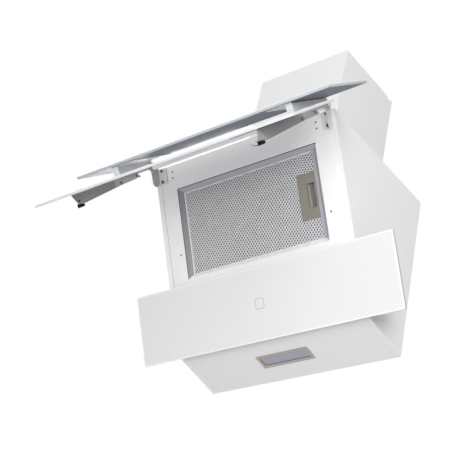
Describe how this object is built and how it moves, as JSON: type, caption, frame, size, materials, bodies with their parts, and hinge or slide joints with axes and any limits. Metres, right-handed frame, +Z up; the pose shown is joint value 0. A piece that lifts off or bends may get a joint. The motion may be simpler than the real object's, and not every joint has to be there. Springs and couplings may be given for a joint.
{
  "type": "range hood",
  "caption": "Wall-mounted inclined range hood with flip-up double glass door, fixed lower glass, latched grease filter, centrifugal blower, duct collar and telescopic chimney",
  "frame": {"origin": "on the wall plane, at the centre of the four wall screw holes of the back panel", "axes": "X to the right seen from the room, Y into the wall, Z up"},
  "size_m": [0.595, 0.4888, 0.649],
  "materials": {
    "body_paint": "semi-gloss white powder coat",
    "arm_paint": "semi-gloss light grey-white powder coat",
    "white_glass": "tempered glass with a white enamel back",
    "filter_metal": "expanded aluminium, satin",
    "latch_plastic": "moulded, fine texture",
    "black_plastic": "moulded black",
    "dark_plastic": "moulded charcoal",
    "white_plastic": "moulded off-white",
    "grey_foam": "adhesive foam",
    "satin_metal": "satin",
    "frosted_lens": "frosted diffuser",
    "circuit_board": "solder mask",
    "zinc_steel": "zinc plated",
    "motor_metal": "die cast"
  },
  "bodies": {
    "hood": {"side_panel_left": "body_paint", "side_panel_right": "body_paint", "front_frame": "body_paint", "bottom_panel": "body_paint", "top_panel": "body_paint", "back_panel": "body_paint", "chimney_lower": "body_paint", "lower_glass": "white_glass", "lower_glass_pads": "grey_foam", "touch_holder": "black_plastic", "touch_board": "circuit_board", "hinge_bracket_left": "arm_paint", "hinge_bracket_right": "arm_paint", "hinge_screws": "zinc_steel", "lamp_bezel": "satin_metal", "lamp_lens": "frosted_lens", "lamp_board": "circuit_board", "scroll_left": "dark_plastic", "scroll_right": "dark_plastic", "motor": "motor_metal", "motor_bracket": "zinc_steel", "duct_collar": "dark_plastic", "control_box": "white_plastic", "control_lid": "white_plastic", "control_board": "circuit_board", "motor_capacitor": "white_plastic", "cable_gland": "black_plastic"},
    "door": {"upper_glass": "white_glass", "middle_glass": "white_glass", "door_arm_left": "arm_paint", "door_arm_right": "arm_paint", "arm_wedge_left": "arm_paint", "arm_wedge_right": "arm_paint", "upper_bracket_left": "arm_paint", "upper_bracket_right": "arm_paint", "door_cross_tube": "arm_paint", "hinge_pins": "zinc_steel", "hinge_washers": "white_plastic", "door_screws": "zinc_steel", "catch_left": "black_plastic", "catch_right": "black_plastic"},
    "filter": {"filter_frame": "filter_metal", "filter_mesh": "filter_metal", "latch_housing": "latch_plastic"},
    "latch": {"latch_slider": "latch_plastic"},
    "fan": {"impeller": "dark_plastic", "motor_shaft": "zinc_steel"},
    "damper_front": {"damper_front": "dark_plastic"},
    "damper_rear": {"damper_rear": "dark_plastic"},
    "chimney": {"chimney_upper": "body_paint", "chimney_strap": "zinc_steel"}
  },
  "joints": [
    {"name": "door_swing", "type": "hinge", "parent": "hood", "child": "door", "pos_m": [0, -0.31553, 0.16101], "axis": [1, 0, 0], "range_deg": [0, 67.3]},
    {"name": "filter_out", "type": "slide", "parent": "hood", "child": "filter", "axis": [0, -0.8719, -0.4897], "range_m": [0, 0.02]},
    {"name": "filter_latch", "type": "slide", "parent": "filter", "child": "latch", "axis": [-1, 0, 0], "range_m": [0, 0.008]},
    {"name": "fan_spin", "type": "hinge", "parent": "hood", "child": "fan", "pos_m": [0, -0.1125, 0.042], "axis": [1, 0, 0], "continuous": true},
    {"name": "damper_front_swing", "type": "hinge", "parent": "hood", "child": "damper_front", "pos_m": [0, -0.0885, 0.1728], "axis": [-1, 0, 0], "range_deg": [0, 75]},
    {"name": "damper_rear_swing", "type": "hinge", "parent": "hood", "child": "damper_rear", "pos_m": [0, -0.0825, 0.1728], "axis": [1, 0, 0], "range_deg": [0, 75]},
    {"name": "chimney_extend", "type": "slide", "parent": "hood", "child": "chimney", "axis": [0, 0, 1], "range_m": [0, 0.25]}
  ],
  "couplings": [
    {"joint": "filter_latch", "follows": "filter_out", "ratio": 0.4}
  ]
}
